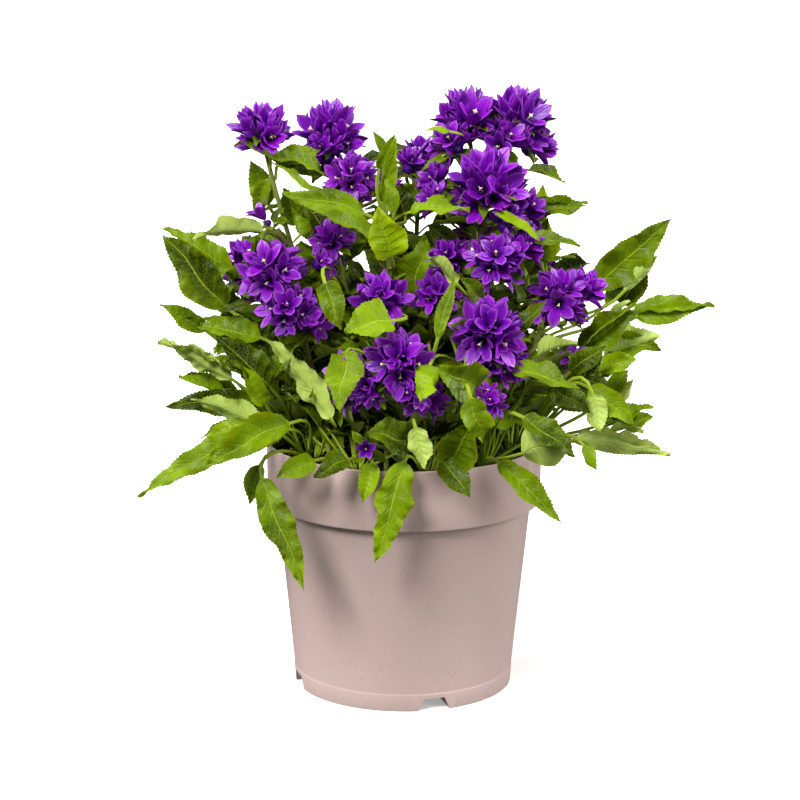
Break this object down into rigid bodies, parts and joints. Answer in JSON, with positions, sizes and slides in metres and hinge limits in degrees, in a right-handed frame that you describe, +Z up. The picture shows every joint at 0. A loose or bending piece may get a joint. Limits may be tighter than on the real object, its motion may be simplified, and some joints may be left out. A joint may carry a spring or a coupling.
{
  "type": "potted bellflower",
  "caption": "Flowering clustered bellflower in a round tapered plastic nursery pot: violet star bells in dense heads over a mound of pointed, toothed green leaves.",
  "frame": {"origin": "middle of the pot's flat base, on the pot's axis", "axes": "+Z up along the pot's axis, -Y towards the plant's front, +X to the right seen from the front"},
  "size_m": [0.385, 0.3167, 0.4178],
  "materials": {
    "pot": "matte, finely speckled",
    "soil": "loose crumbly potting mix, matt",
    "foliage": "satin leaf, slightly hairy, paler beneath",
    "petals": "soft satin petal with darker veins"
  },
  "bodies": {
    "root": {"pot": "pot", "soil": "soil", "stem_01": "foliage", "stem_02": "foliage", "stem_03": "foliage", "stem_04": "foliage", "stem_05": "foliage", "stem_06": "foliage", "stem_07": "foliage", "stem_08": "foliage", "stem_09": "foliage", "stem_10": "foliage", "stem_11": "foliage", "stem_12": "foliage", "stem_13": "foliage", "stem_14": "foliage", "stem_15": "foliage", "stem_16": "foliage", "stem_17": "foliage", "stem_18": "foliage", "stem_19": "foliage", "tuft_01": "foliage", "tuft_02": "foliage", "tuft_03": "foliage", "tuft_04": "foliage", "tuft_05": "foliage", "tuft_06": "foliage", "tuft_07": "foliage", "tuft_08": "foliage", "tuft_09": "foliage", "tuft_10": "foliage", "head_01a": "petals", "head_01b": "petals", "head_02a": "petals", "head_02b": "petals", "head_02c": "petals", "head_03a": "petals", "head_04a": "petals", "head_05a": "petals", "head_05b": "petals", "head_05c": "petals", "head_06a": "petals", "head_07a": "petals", "head_08a": "petals", "head_09a": "petals", "head_10a": "petals", "head_10b": "petals", "head_11a": "petals", "head_11b": "petals", "head_12a": "petals", "head_12b": "petals", "head_14a": "petals", "head_15a": "petals", "head_16a": "petals", "head_17a": "petals", "head_18a": "petals", "head_19a": "petals"}
  },
  "joints": []
}
